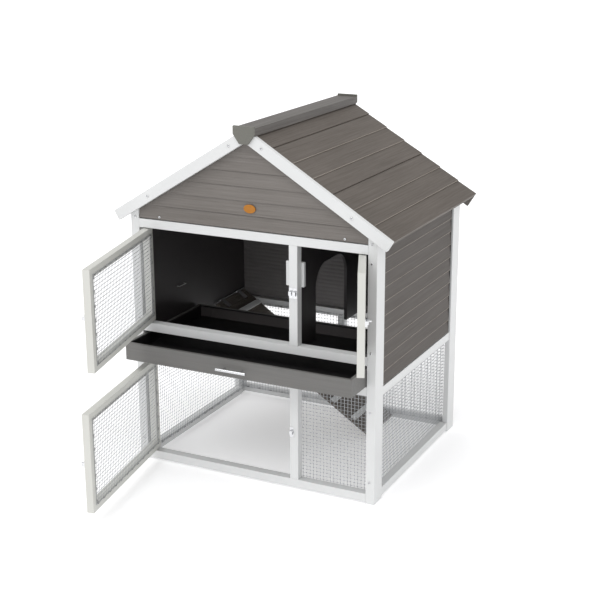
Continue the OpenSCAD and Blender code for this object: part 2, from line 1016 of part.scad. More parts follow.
// Straps that wrap the rod and lie on the ramp's upper face
module ramp_straps() {
    leaf_t = strap_r - ramp_top;
    places = [ramp_front_y + 0.15 * ramp_w, ramp_back_y - 0.15 * ramp_w - strap_w];
    color(steel)
        on_ramp()
            for (y = places)
                difference() {
                    union() {
                        translate([0, y, 0])
                            rotate([-90, 0, 0])
                                cylinder(h = strap_w, r = strap_r);
                        translate([0, y, ramp_top])
                            cube([strap_l, strap_w, leaf_t]);
                    }
                    translate([0, y - 1, 0])
                        rotate([-90, 0, 0])
                            cylinder(h = strap_w + 2, d = rod_d + 2 * run_fit);
                }
}

// Rod whose bent ends go to the left lining
module ramp_rod() {
    front = ramp_front_y - 2 - rod_d / 2;
    back = ramp_back_y + rod_d / 2;
    color(steel) {
        translate([ramp_axis_x, front - rod_d / 2, ramp_axis_z])
            rotate([-90, 0, 0])
                cylinder(h = back - front + rod_d, d = rod_d);
        for (y = [front, back])
            translate([-lining_x, y, ramp_axis_z])
                rotate([0, 90, 0])
                    cylinder(h = ramp_axis_x + lining_x, d = rod_d);
    }
}

post_front_left();
post_front_right();
post_rear_left();
post_rear_right();
front_bottom_rail();
front_tray_rail();
front_shelf_rail();
front_top_rail();
lower_mullion();
upper_mullion();
partition_cleat();
side_bottom_rails();
side_mid_rails();
side_top_rails();
rear_frame();
wall_boards_left();
wall_boards_right();
wall_boards_rear();
wall_linings();
gable_boards_front();
gable_boards_rear();
gable_rafters();
roof_boards_left();
roof_boards_right();
bargeboards_front();
bargeboards_rear();
ridge_cap();
ridge_end_plates();
partition();
tray_runners();
mesh_left();
mesh_right();
mesh_rear();
mesh_front();
pivot_pins();
latch_keepers();
frame_screws();
badge_plate();
wall_loop();
ramp_rod();
upper_left_frame();
upper_left_mesh();
upper_left_latch();
upper_left_bolt();
lower_left_frame();
lower_left_mesh();
lower_left_latch();
lower_left_bolt();
upper_right_frame();
upper_right_panel();
upper_right_latch();
upper_right_bolt();
tray_front();
tray_sides();
tray_base();
tray_pan();
tray_handle();
ramp_board();
ramp_rungs();
ramp_straps();
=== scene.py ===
# %% [markdown]
# # A rabbit hutch in wood, board and wire
#
# The hutch stands open: two mesh doors and one boarded door are swung out, and the bedding tray is
# partly pulled. Its frame, walls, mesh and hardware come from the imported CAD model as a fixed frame.
# This lesson gives every one of those parts its finish, and adds the small things that a maker
# leaves behind: ribs, lap edges, staples, hems, folded corners and screw recesses.

# %% Load the frame
import json
import math

import bpy
import numpy as np
from mathutils import Euler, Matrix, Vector


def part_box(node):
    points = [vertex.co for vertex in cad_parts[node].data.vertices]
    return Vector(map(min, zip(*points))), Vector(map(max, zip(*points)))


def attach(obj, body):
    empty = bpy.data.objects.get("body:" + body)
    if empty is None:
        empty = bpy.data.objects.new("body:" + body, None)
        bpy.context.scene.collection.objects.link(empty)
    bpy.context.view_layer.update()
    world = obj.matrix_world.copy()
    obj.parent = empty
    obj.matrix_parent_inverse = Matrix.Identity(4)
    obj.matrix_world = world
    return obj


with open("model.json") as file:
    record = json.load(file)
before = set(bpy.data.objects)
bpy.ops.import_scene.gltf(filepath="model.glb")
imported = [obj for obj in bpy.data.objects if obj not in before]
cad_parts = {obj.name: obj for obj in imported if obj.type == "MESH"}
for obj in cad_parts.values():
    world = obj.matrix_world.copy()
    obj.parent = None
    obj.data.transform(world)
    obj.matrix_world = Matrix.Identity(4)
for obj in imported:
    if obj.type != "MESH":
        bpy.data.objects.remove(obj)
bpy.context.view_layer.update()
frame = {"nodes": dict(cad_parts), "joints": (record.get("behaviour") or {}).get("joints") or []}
nodes = frame["nodes"]
joints = {joint["name"]: joint for joint in frame["joints"]}
mm = 0.001

# %% [markdown]
# ## Camera
#
# The hutch is seen from the right and from above, at head height and from about five metres. A
# product picture is taken with a long lens, because it keeps the uprights nearly parallel. The
# camera is turned in three steps: sideways about the vertical, down from the horizontal, and a hair
# of roll.

# %% Place the camera
camera_place = Vector((1.9935, -4.0072, 1.9225))
camera_turn = math.radians(26.486)
camera_tilt = math.radians(-17.047)
camera_roll = math.radians(-0.232)
focal_length = 77.7
SENSOR_WIDTH = 36.0    # both in mm, as on a full-frame camera

camera_data = bpy.data.cameras.new("camera")
camera_data.lens = focal_length
camera_data.sensor_width = SENSOR_WIDTH
camera = bpy.data.objects.new("camera", camera_data)
bpy.context.scene.collection.objects.link(camera)
camera.location = camera_place
turn = Euler((0, 0, camera_turn)).to_matrix()
tilt = Euler((math.radians(90) + camera_tilt, 0, 0)).to_matrix()
roll = Euler((0, 0, camera_roll)).to_matrix()
camera.rotation_euler = (turn @ tilt @ roll).to_euler()
bpy.context.scene.camera = camera
print("camera at", [round(v, 2) for v in camera_place], "lens", focal_length, "mm")

# %% [markdown]
# ## Studio
#
# White things on white need light from all round, or their edges vanish. The pale floor runs far
# behind the hutch and fills the background, so it has to be lit evenly for tens of metres. Lamps
# near the object would leave the distance dark. A white world lights everything alike, and one
# very soft sun from the front, 60 degrees up, makes the front the brightest side. The floor is
# a back-lit table: it glows a little itself, so the shadow in the run stays pale.

# %% World and sun
bpy.context.scene.view_settings.view_transform = "Standard"


def linear(hex_colour):
    """A colour written as #rrggbb in sRGB, as the linear red, green, blue and alpha that shaders use."""
    channels = np.array([int(hex_colour[i:i + 2], 16) / 255 for i in (1, 3, 5)])
    curve = np.where(channels <= 0.04045, channels / 12.92, ((channels + 0.055) / 1.055) ** 2.4)
    return [*curve.tolist(), 1.0]


WORLD_STRENGTH = 0.80
SUN_STRENGTH = 1.20
FLOOR_GLOW = 0.30
SUN_FROM = Vector((-0.17, -0.47, 0.87))
SUN_SPREAD = math.radians(50)

world = bpy.data.worlds.new("studio")
world.use_nodes = True
world.node_tree.nodes["Background"].inputs["Color"].default_value = linear("#ffffff")
world.node_tree.nodes["Background"].inputs["Strength"].default_value = WORLD_STRENGTH
bpy.context.scene.world = world

sun_data = bpy.data.lights.new("soft_sun", "SUN")
sun_data.energy = SUN_STRENGTH
sun_data.angle = SUN_SPREAD
sun = bpy.data.objects.new("soft_sun", sun_data)
bpy.context.scene.collection.objects.link(sun)
sun.rotation_euler = SUN_FROM.to_track_quat("Z", "Y").to_euler()
print("world", WORLD_STRENGTH, "sun", SUN_STRENGTH, "floor glow", FLOOR_GLOW)

# %% [markdown]
# ## One way to add a shader node
#
# Every finish below is a small graph. This helper makes a node, sets its properties, and fills each
# input with a value or with a link. Everything is measured in metres on the object itself, so a
# pattern scale of 250 means one grain each 4 mm.

# %% The node helper
def add_node(material, kind, settings=None, inputs=None):
    """A node of that kind: settings are its properties, and inputs are values or output sockets."""
    tree = material.node_tree
    node = tree.nodes.new(kind)
    for name, value in (settings or {}).items():
        setattr(node, name, value)
    for name, value in (inputs or {}).items():
        if isinstance(value, bpy.types.NodeSocket):
            tree.links.new(value, node.inputs[name])
        else:
            node.inputs[name].default_value = value
    return node


def new_material(name, roughness, metallic=0.0, ior=1.5):
    """An empty Principled material, with its shader and its object coordinates in metres."""
    material = bpy.data.materials.new(name)
    material.use_nodes = True
    shader = material.node_tree.nodes["Principled BSDF"]
    shader.inputs["Roughness"].default_value = roughness
    shader.inputs["Metallic"].default_value = metallic
    if metallic == 0:
        shader.inputs["IOR"].default_value = ior
    place = add_node(material, "ShaderNodeTexCoord").outputs["Object"]
    return material, shader, place


# Index of the factor, the two colours and the result on a Mix node that mixes colours
MIX_FACTOR, MIX_A, MIX_B, MIX_RESULT = 0, 6, 7, 2


def mix_colours(material, factor, dark, light):
    """A Mix node between two hex colours, and its result."""
    inputs = {MIX_FACTOR: factor, MIX_A: linear(dark), MIX_B: linear(light)}
    return add_node(material, "ShaderNodeMix", {"data_type": "RGBA"}, inputs).outputs[MIX_RESULT]


# %% [markdown]
# ## White coated fir
#
# The frame is sawn fir, sanded and dipped in a thick white coating. The coating is satin and fills
# most of the grain, but long soft ridges still run with the piece, and the tone wanders by a
# percent or two. The grain is noise that is stretched along the piece, so there is one material for
# each direction that a piece can run in. The doors come from another dip, a little warmer and darker.

# %% White coating
GRAIN_ACROSS = 260.0   # one soft ridge each 4 mm
GRAIN_ALONG = 9.0      # which runs for 110 mm


def grain_scale(run, across, along):
    """Pattern scales for X, Y and Z where the grain runs along one of them."""
    return [along if axis == run else across for axis in "XYZ"]


def coated_fir(run, name="white_coated_fir_", dark="#d5d6d6", light="#dbdcdc"):
    """White coating over fir whose grain runs along the axis run."""
    material, shader, place = new_material(name + run.lower(), 0.42, ior=1.48)
    along = add_node(material, "ShaderNodeMapping", None,
                     {"Vector": place, "Scale": grain_scale(run, GRAIN_ACROSS, GRAIN_ALONG)})
    ridges = add_node(material, "ShaderNodeTexNoise", None,
                      {"Vector": along.outputs["Vector"], "Scale": 1.0, "Detail": 3.0})
    cloud = add_node(material, "ShaderNodeTexNoise", None,
                     {"Vector": place, "Scale": 7.0, "Detail": 2.0})
    tone = mix_colours(material, cloud.outputs["Fac"], dark, light)
    material.node_tree.links.new(tone, shader.inputs["Base Color"])
    bump = add_node(material, "ShaderNodeBump", None,
                    {"Strength": 0.22, "Distance": 0.0006, "Height": ridges.outputs["Fac"]})
    material.node_tree.links.new(bump.outputs["Normal"], shader.inputs["Normal"])
    return material


white_by_run = {run: coated_fir(run) for run in "XYZ"}
door_white = coated_fir("Z", "white_door_fir_", "#c8c8c2", "#d0d0cb")
print("white coatings:", sorted(white_by_run), "and", door_white.name)

# %% [markdown]
# ## Taupe lap board
#
# Walls and roof are extruded boards of wood flour and plastic. The roller that embosses them leaves
# fine streaks along the board, darker in the valleys, and no two boards come out in quite the same
# shade. Two noises do it: a coarse one for the streaks and a fine one for the fibres between them.
# Their mix drives the colour, the gloss and the relief together, as on the real board. The side
# walls and the roof get darker tones than the gable, as painted shade for sides turned away from
# the light. The ridge trim, the smooth tray board and the ramp board are the same stuff in other
# tones, and the pale edge of a lap is a painted highlight in the same stuff.

# %% Lap board
STREAK_ACROSS = 210.0   # a streak each 5 mm
STREAK_ALONG = 4.0      # that runs for 250 mm
FIBRE_ACROSS = 900.0    # fibres of about 1 mm
FIBRE_ALONG = 22.0      # that run for 45 mm


def lap_board(name, run, dark, light, roughness=0.5, relief=0.5):
    """Embossed board whose streaks run along the axis run, between a dark and a light tone."""
    material, shader, place = new_material(name, roughness, ior=1.5)
    coarse_place = add_node(material, "ShaderNodeMapping", None,
                            {"Vector": place, "Scale": grain_scale(run, STREAK_ACROSS, STREAK_ALONG)})
    fine_place = add_node(material, "ShaderNodeMapping", None,
                          {"Vector": place, "Scale": grain_scale(run, FIBRE_ACROSS, FIBRE_ALONG)})
    streaks = add_node(material, "ShaderNodeTexNoise", None,
                       {"Vector": coarse_place.outputs["Vector"], "Scale": 1.0, "Detail": 4.0,
                        "Roughness": 0.6})
    fibres = add_node(material, "ShaderNodeTexNoise", None,
                      {"Vector": fine_place.outputs["Vector"], "Scale": 1.0, "Detail": 2.0})
    drift = add_node(material, "ShaderNodeTexNoise", None,
                     {"Vector": place, "Scale": 3.0, "Detail": 2.0})
    both = add_node(material, "ShaderNodeMath", {"operation": "MULTIPLY_ADD"},
                    {0: fibres.outputs["Fac"], 1: 0.35, 2: streaks.outputs["Fac"]})
    shade = add_node(material, "ShaderNodeMath", {"operation": "MULTIPLY_ADD"},
                     {0: drift.outputs["Fac"], 1: 0.5, 2: both.outputs["Value"]})
    factor = add_node(material, "ShaderNodeMapRange", None,
                      {"Value": shade.outputs["Value"], "From Min": 0.62, "From Max": 1.22})
    tone = mix_colours(material, factor.outputs["Result"], dark, light)
    material.node_tree.links.new(tone, shader.inputs["Base Color"])
    gloss = add_node(material, "ShaderNodeMapRange", None,
                     {"Value": both.outputs["Value"], "From Min": 0.4, "From Max": 1.0,
                      "To Min": roughness + 0.1, "To Max": roughness - 0.08})
    material.node_tree.links.new(gloss.outputs["Result"], shader.inputs["Roughness"])
    bump = add_node(material, "ShaderNodeBump", None,
                    {"Strength": relief, "Distance": 0.0007, "Height": both.outputs["Value"]})
    material.node_tree.links.new(bump.outputs["Normal"], shader.inputs["Normal"])
    return material


gable_board = lap_board("taupe_gable_board", "X", "#645f5a", "#7a7571")
# The wall and roof tones are darker than the gable's: painted shade for sides turned away from the light.
wall_board_painted_shade = lap_board("taupe_wall_board_painted_shade", "Y", "#48423d", "#524c47", 0.6, 0.25)
roof_board_painted_shade = lap_board("taupe_roof_board_painted_shade", "Y", "#4e4740", "#615952", 0.58, 0.35)
ridge_trim = lap_board("ridge_trim", "Y", "#47423e", "#56514c", 0.45, 0.3)
end_plate_trim = lap_board("end_plate_trim", "Y", "#66665f", "#6d6c66", 0.55, 0.1)
tray_board = lap_board("smooth_tray_board", "X", "#636260", "#6d6c6a", 0.5, 0.08)
ramp_finish = lap_board("ribbed_ramp_board", "Y", "#514a44", "#6f6861", 0.58, 0.3)
# Pale tone for the lap edges: a painted highlight where the lower edge of each lap catches the light.
lap_painted_highlight = lap_board("lap_edge_painted_highlight", "Y", "#857d74", "#9a928a", 0.6, 0.1)
print("boards:", [board.name for board in (gable_board, wall_board_painted_shade, roof_board_painted_shade, tray_board)])

# %% [markdown]
# ## Smooth sheets
#
# Three dark surfaces sit inside: the smooth laminate on the side walls and the partition, the back
# of the rear boards, and the sheet steel pan of the tray. All are nearly black and differ in gloss.
# A little cloudiness in the gloss is what tells the eye that a black surface is smooth. The same
# graph serves the folded walls of the pan, the painted shade in a screw's cross and in the gaps at
# the board ends, and the one pale sheet here, the chalky zinc of the wall loop.

# %% Laminate, board backs and pan
CLOUD = 12.0    # clouds of about 80 mm
GRIT = 900.0    # grit of about 1 mm


def smooth_sheet(name, dark, light, low_rough, high_rough):
    """A smooth sheet whose tone and roughness drift in clouds of about 80 mm."""
    material, shader, place = new_material(name, low_rough)
    cloud = add_node(material, "ShaderNodeTexNoise", None,
                     {"Vector": place, "Scale": CLOUD, "Detail": 4.0, "Roughness": 0.55})
    grit = add_node(material, "ShaderNodeTexNoise", None,
                    {"Vector": place, "Scale": GRIT, "Detail": 1.0})
    tone = mix_colours(material, cloud.outputs["Fac"], dark, light)
    material.node_tree.links.new(tone, shader.inputs["Base Color"])
    gloss = add_node(material, "ShaderNodeMapRange", None,
                     {"Value": cloud.outputs["Fac"], "To Min": low_rough, "To Max": high_rough})
    material.node_tree.links.new(gloss.outputs["Result"], shader.inputs["Roughness"])
    bump = add_node(material, "ShaderNodeBump", None,
                    {"Strength": 0.15, "Distance": 0.0002, "Height": grit.outputs["Fac"]})
    material.node_tree.links.new(bump.outputs["Normal"], shader.inputs["Normal"])
    return material


black_laminate = smooth_sheet("black_laminate", "#2f2c2d", "#363334", 0.42, 0.55)
board_back = smooth_sheet("board_back", "#625f5f", "#6f6c6b", 0.6, 0.7)
pan_steel = smooth_sheet("powder_coated_pan", "#0e0d0e", "#141314", 0.5, 0.65)
folded_wall = smooth_sheet("pan_wall_sheet", "#4a4646", "#545050", 0.5, 0.62)
pale_zinc = smooth_sheet("pale_zinc", "#b4b4b3", "#c2c2c1", 0.4, 0.5)
# Grey-black painted shade, for the screw crosses and for the gaps at the board ends.
painted_shade = smooth_sheet("painted_shade", "#3c3c3d", "#4a4a4b", 0.5, 0.6)
print("smooth sheets:", black_laminate.name, board_back.name, pan_steel.name, folded_wall.name)

# %% [markdown]
# ## Metal
#
# The wire is galvanised after welding, so it is a dull, slightly blue silver with spangled gloss.
# Bolts, keepers, handle and screws are bright plated steel. The badge is satin brass. Metals get
# their colour from reflection, so the base colour stays light and only the roughness tells them
# apart.

# %% Wire, plating and brass
def metal(name, colour, roughness, spread, scale):
    """A metal whose roughness wanders by spread in patches of 1/scale metres."""
    material, shader, place = new_material(name, roughness, metallic=1.0)
    shader.inputs["Base Color"].default_value = linear(colour)
    patches = add_node(material, "ShaderNodeTexNoise", None,
                       {"Vector": place, "Scale": scale, "Detail": 3.0})
    gloss = add_node(material, "ShaderNodeMapRange", None,
                     {"Value": patches.outputs["Fac"], "To Min": roughness - spread,
                      "To Max": roughness + spread})
    material.node_tree.links.new(gloss.outputs["Result"], shader.inputs["Roughness"])
    return material


galvanised = metal("galvanised_wire", "#b6b8bb", 0.45, 0.1, 120.0)
plated = metal("bright_plating", "#dcdddf", 0.2, 0.08, 60.0)
satin_brass = metal("satin_brass", "#b47a3c", 0.36, 0.08, 300.0)
dull_staple = metal("dull_staple_wire", "#77787a", 0.5, 0.1, 200.0)
print("metals:", galvanised.name, plated.name, satin_brass.name, dull_staple.name)

# %% [markdown]
# ## Dress the CAD parts
#
# Each node gets the finish of the real piece. Sawn and extruded parts never have knife edges, so
# the wooden ones also get a small bevel. The CAD mesh comes as loose triangles, so a Weld modifier
# joins them first, and Weighted Normal keeps the broad faces flat after the bevel. All three stay
# modifiers, because the mesh itself belongs to the CAD model.

# %% Finishes by node
SHARP = math.radians(40)    # a bevel rounds only edges that turn more than this
JOIN = 0.01 * mm            # loose points closer than this are one point


def dress(names, material, edge=0.0):
    """Gives nodes a material and, where edge is over zero, softened edges of that size."""
    for name in names:
        piece = nodes[name]
        piece.data.materials.clear()
        piece.data.materials.append(material)
        if edge > 0:
            weld = piece.modifiers.new("join", "WELD")
            weld.merge_threshold = JOIN
            bevel = piece.modifiers.new("soft_edges", "BEVEL")
            bevel.width = edge
            bevel.segments = 2
            bevel.limit_method = "ANGLE"
            bevel.angle_limit = SHARP
            level = piece.modifiers.new("flat_faces", "WEIGHTED_NORMAL")
            level.keep_sharp = True


posts = ["post_front_left", "post_front_right", "post_rear_left", "post_rear_right"]
rails_along_x = ["front_bottom_rail", "front_tray_rail", "front_shelf_rail", "front_top_rail",
                 "rear_frame", "bargeboards_front", "gable_rafters"]
rails_along_y = ["side_bottom_rails", "side_mid_rails", "side_top_rails", "tray_runners", "ramp_rungs"]
dress(posts + ["lower_mullion", "upper_mullion", "partition_cleat"], white_by_run["Z"], 1.6 * mm)
dress(rails_along_x, white_by_run["X"], 1.4 * mm)
dress(rails_along_y, white_by_run["Y"], 1.2 * mm)
dress(["upper_left_frame", "lower_left_frame", "upper_right_frame"], door_white, 1.2 * mm)
dress(["wall_boards_left", "wall_boards_right"], wall_board_painted_shade, 2.0 * mm)
dress(["roof_boards_left", "roof_boards_right"], roof_board_painted_shade, 1.2 * mm)
dress(["wall_boards_rear", "gable_boards_front", "gable_boards_rear", "bargeboards_rear",
       "upper_right_panel"], gable_board, 0.8 * mm)
dress(["tray_front", "tray_sides", "tray_base"], tray_board, 0.8 * mm)
dress(["ridge_cap"], ridge_trim, 1.0 * mm)
dress(["ridge_end_plates"], end_plate_trim, 1.0 * mm)
dress(["wall_linings", "partition"], black_laminate, 0.6 * mm)
dress(["tray_pan"], pan_steel, 0.6 * mm)
dress(["ramp_board"], ramp_finish, 0.8 * mm)
dress(["mesh_left", "mesh_right", "mesh_rear", "mesh_front", "upper_left_mesh", "lower_left_mesh"],
      galvanised)
hardware = ["pivot_pins", "latch_keepers", "frame_screws", "ramp_rod", "ramp_straps",
            "tray_handle", "upper_left_latch", "upper_left_bolt", "lower_left_latch",
            "lower_left_bolt", "upper_right_latch", "upper_right_bolt"]
dress(hardware, plated)
dress(["wall_loop"], pale_zinc)
dress(["badge_plate"], satin_brass, 0.4 * mm)
undressed = [name for name, piece in nodes.items() if not piece.data.materials]
print("nodes without a finish:", undressed)

# %% [markdown]
# ## Building small pieces with numpy
#
# The pieces below are worked out as whole arrays, with a few helpers: one turns points and faces into
# an object that rides on a body of the frame, one reads a CAD node's points back as an array, one
# makes many bars at once from the arrays of their lowest and highest corners, and one carries an
# outline along an axis.


def add_piece(name, points, faces, material, body, smooth=False):
    """An object from an array of points and a list of faces, riding on a body of the frame."""
    mesh = bpy.data.meshes.new(name)
    mesh.from_pydata(points.tolist(), [], faces)
    mesh.materials.append(material)
    if smooth:
        mesh.shade_smooth()
    else:
        mesh.shade_flat()
    mesh.update()
    piece = bpy.data.objects.new(name, mesh)
    bpy.context.scene.collection.objects.link(piece)
    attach(piece, body)
    return piece


def node_points(name):
    """All the points of a CAD node as an array."""
    mesh = nodes[name].data
    flat = np.zeros(3 * len(mesh.vertices), np.float32)
    mesh.vertices.foreach_get("co", flat)
    return flat.reshape(-1, 3).astype(float)


CORNERS = np.array([[x, y, z] for x in (0, 1) for y in (0, 1) for z in (0, 1)])
BAR_FACES = np.array([[0, 1, 3, 2], [4, 6, 7, 5], [0, 4, 5, 1],
                      [2, 3, 7, 6], [0, 2, 6, 4], [1, 5, 7, 3]])


def bars(low, high):
    """Points and faces of n bars: each corner takes its coordinate from the low or the high array."""
    low = np.asarray(low, float)[:, None, :]
    high = np.asarray(high, float)[:, None, :]
    points = (low + (high - low) * CORNERS).reshape(-1, 3)
    faces = (BAR_FACES[None] + len(CORNERS) * np.arange(len(low))[:, None, None]).reshape(-1, 4)
    return points, faces.tolist()


def swept(profile, axis, start, end):
    """A closed outline in the plane square to axis, carried from start to end, with flat ends.

    The signed area, half the sum of x * next y - y * next x, tells which way round the outline goes,
    and the faces are turned over where they would point inwards."""
    profile = np.asarray(profile, float)
    count = len(profile)
    others = [k for k in range(3) if k != axis]
    points = np.zeros((2 * count, 3))
    points[:, others] = np.tile(profile, (2, 1))
    points[:count, axis] = start
    points[count:, axis] = end
    ring = np.arange(count)
    after = (ring + 1) % count
    sides = np.stack([ring, after, after + count, ring + count], 1)
    faces = sides.tolist() + [ring[::-1].tolist(), (ring + count).tolist()]
    following = np.roll(profile, -1, 0)
    area = np.sum(profile[:, 0] * following[:, 1] - profile[:, 1] * following[:, 0])
    flip = (area > 0) == (axis == 1)
    return points, [face[::-1] for face in faces] if flip else faces


# %% [markdown]
# ## Ribs on the back wall
#
# Inside, the back of the rear boards shows: fine ribs some 15 mm apart and a dark joint between two
# boards. A rib is a shallow arch, so the outline of the sheet is a row of sine arches in height,
# carried across the room. The partition splits the wall in two.

# %% Back wall
LINING_THICK = 5 * mm
AIR = 0.3 * mm
rear_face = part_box("wall_boards_rear")[0].y
rear_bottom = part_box("wall_boards_rear")[0].z
partition_low, partition_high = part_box("partition")
top_rail_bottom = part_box("front_top_rail")[0].z
lining_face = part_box("wall_linings")[1].x - LINING_THICK


def ribbed_wall(name, left, right):
    """Sheet on the rear boards: depth = 1 mm + 1.2 mm * |sin(pi * z / pitch)|, grooved at the joint."""
    pitch = 15.5 * mm
    z = np.arange(rear_bottom + 1 * mm, top_rail_bottom - 1 * mm, 1.6 * mm)
    joint_z = top_rail_bottom - 42 * mm
    depth = 1 * mm + 1.2 * mm * np.abs(np.sin(np.pi * (z - joint_z) / pitch))
    depth = np.where(np.abs(z - joint_z) < 2.4 * mm, 0.2 * mm, depth)
    front = np.stack([rear_face - depth, z], 1)
    back = np.array([[rear_face, z[-1]], [rear_face, z[0]]])
    points, faces = swept(np.concatenate([front, back]), 0, left, right)
    return add_piece(name, points, faces, board_back, "hutch")


ribbed_wall("back_wall_ribs_left", AIR - lining_face, partition_low.x - AIR)
ribbed_wall("back_wall_ribs_right", partition_high.x + AIR, lining_face - AIR)
print("back wall ribs between x =", round(-lining_face, 3), "and", round(lining_face, 3))

# %% [markdown]
# ## Painted highlights on the lap edges
#
# The lower edge of each lap catches the light as a thin light line along the board, and that
# highlight is painted: a slim pale bar under the lower edge of each lap, on the side walls and on the
# roof. The joints between two boards stay dark, so they get none.

# %% Lap edges on the walls
EDGE_TALL = 1.7 * mm
WALL_EDGE_DEEP = 4 * mm
SKIN = 0.1 * mm          # a light edge stays this far behind the face it belongs to


def lap_faces(name):
    """Heights at which a board's outer face steps outwards, the lower edges of its laps."""
    points = node_points(name)
    outer = points[np.abs(points[:, 0]) > np.abs(points[:, 0]).max() - SKIN]
    return np.unique(np.round(outer[:, 2], 4)), outer


for side, sign in (("left", -1), ("right", 1)):
    heights, outer = lap_faces("wall_boards_" + side)
    heights = heights[heights > heights.min() + 10 * mm]
    face_x = np.abs(outer[:, 0]).max()
    count = len(heights)
    inner = np.stack([np.full(count, face_x - WALL_EDGE_DEEP), np.full(count, outer[:, 1].min()),
                      heights - EDGE_TALL], 1)
    front = np.stack([np.full(count, face_x - SKIN), np.full(count, outer[:, 1].max()), heights], 1)
    inner[:, 0] *= sign
    front[:, 0] *= sign
    points, faces = bars(np.minimum(inner, front), np.maximum(inner, front))
    add_piece("wall_lap_edges_" + side, points, faces, lap_painted_highlight, "hutch")
    print(side, "wall laps:", count)


# %% Lap edges on the roof
ROOF_EDGE_DEEP = 2.8 * mm
TOUCH = 0.2 * mm         # points this close to a straight edge touch it
ROOF_EDGE_CORNERS = np.array([[0, -ROOF_EDGE_DEEP], [0, -SKIN],
                              [-EDGE_TALL, -SKIN], [-EDGE_TALL, -ROOF_EDGE_DEEP]])


def roof_slope(flat):
    """The tilt at which most points touch a straight edge laid on the roof.

    Height across the slope is x * sin(tilt) + z * cos(tilt), tried in steps of 0.01 degree."""
    first = math.atan2(np.ptp(flat[:, 1]), np.ptp(flat[:, 0]))
    tilts = first + np.radians(np.arange(-150, 151) / 100)
    heights = flat @ np.stack([np.sin(tilts), np.cos(tilts)])
    touching = np.sum(heights > heights.max(0) - SKIN, 0)
    return tilts[np.argmax(touching)]


for side, sign in (("left", -1), ("right", 1)):
    roof = node_points("roof_boards_" + side)
    flat = np.stack([np.abs(roof[:, 0]), roof[:, 2]], 1)
    slope = roof_slope(flat)
    along = np.array([-math.cos(slope), math.sin(slope)])
    square = np.array([math.sin(slope), math.cos(slope)])
    run, height = flat @ along, flat @ square
    steps = np.unique(np.round(run[height > height.max() - TOUCH], 3))
    board_ends = run[height < height.min() + TOUCH]
    gaps = np.array([np.min(np.abs(board_ends - step)) for step in steps])
    steps = steps[gaps > 5 * mm]
    for number, step in enumerate(steps):
        outline = ((step + ROOF_EDGE_CORNERS[:, :1]) * along
                   + (height.max() + ROOF_EDGE_CORNERS[:, 1:]) * square)
        outline[:, 0] *= sign
        points, faces = swept(outline, 1, roof[:, 1].min() + 1 * mm, roof[:, 1].max() - 1 * mm)
        add_piece("roof_lap_edge_" + side + "_" + str(number), points, faces, lap_painted_highlight, "hutch")
    print(side, "roof laps at", np.round(steps, 3), "slope", round(math.degrees(slope), 1))

# %% [markdown]
# ## Shadow at the ends of the boards
#
# Where the tapered boards meet a rear post, a thin shadow falls above each lap. A slim strip of
# painted shadow stands between the board ends and the post: only the parts above the laps are seen,
# so it reads as a row of short dark wedges.

# %% End gaps
for side, sign in (("left", -1), ("right", 1)):
    wall_low, wall_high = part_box("wall_boards_" + side)
    outer_x = max(abs(wall_low.x), abs(wall_high.x))
    xs = sorted([sign * (outer_x - 9 * mm), sign * (outer_x - 0.4 * mm)])
    strip_low = [xs[0], wall_high.y - 1.6 * mm, wall_low.z + 2 * mm]
    strip_high = [xs[1], wall_high.y + 0.2 * mm, wall_high.z - 2 * mm]
    points, faces = bars([strip_low], [strip_high])
    # The strip is painted shadow in the gap between the board ends and the post.
    add_piece("end_gap_painted_shadow_" + side, points, faces, painted_shade, "hutch")
    print(side, "strip at y =", round(strip_low[1], 4))

# %% [markdown]
# ## Ribs on the ramp
#
# The ramp is a lap board with fine ribs across the slope on both faces, about 8 mm apart, that give
# the rabbit a hold. Each face gets a thin sheet whose outline along the slope is a row of sine
# arches. The slope's own angle comes from the hinge's range, because the ramp can be lifted
# from rest to level and no further.

# %% Ramp ribs
ramp_slope = math.radians(-joints["ramp_hinge"]["range_deg"][0])
ramp_down = np.array([math.cos(ramp_slope), -math.sin(ramp_slope)])
ramp_square = np.array([math.sin(ramp_slope), math.cos(ramp_slope)])
RIB_PITCH = 8 * mm
RIB_TALL = 1.0 * mm


def ribbed_face(name, side):
    """Sheet on one face of the ramp: rise = 1 mm * |sin(pi * s / pitch)| at distance s down the slope."""
    board = node_points("ramp_board")
    down = board[:, [0, 2]] @ ramp_down
    height = board[:, [0, 2]] @ ramp_square
    level = height.max() if side > 0 else height.min()
    s = np.arange(down.min() + 2 * mm, down.max() - 2 * mm, 1 * mm)
    rise = level + side * RIB_TALL * np.abs(np.sin(np.pi * (s - s[0]) / RIB_PITCH))
    s = np.concatenate([s, [s[-1], s[0]]])
    rise = np.concatenate([rise, [level - side * 0.5 * mm] * 2])
    outline = s[:, None] * ramp_down + rise[:, None] * ramp_square
    points, faces = swept(outline, 1, board[:, 1].min() + 0.6 * mm, board[:, 1].max() - 0.6 * mm)
    return add_piece(name, points, faces, ramp_finish, "ramp")


ribbed_face("ramp_ribs_top", 1)
ribbed_face("ramp_ribs_under", -1)
print("ramp slope:", round(math.degrees(ramp_slope), 1), "degrees")

# %% [markdown]
# ## Staples
#
# Welded mesh is stapled to the wood all round, every 50 mm or so. Only a staple's crown shows, a
# short flat wire, so each one is a low bar. For the doors they are laid out with the door closed,
# and then turned back to where the door stands.

# %% Staples
STAPLE = {"long": 11 * mm, "wide": 1.3 * mm, "tall": 1.0 * mm}
STAPLE_INSET = 5 * mm


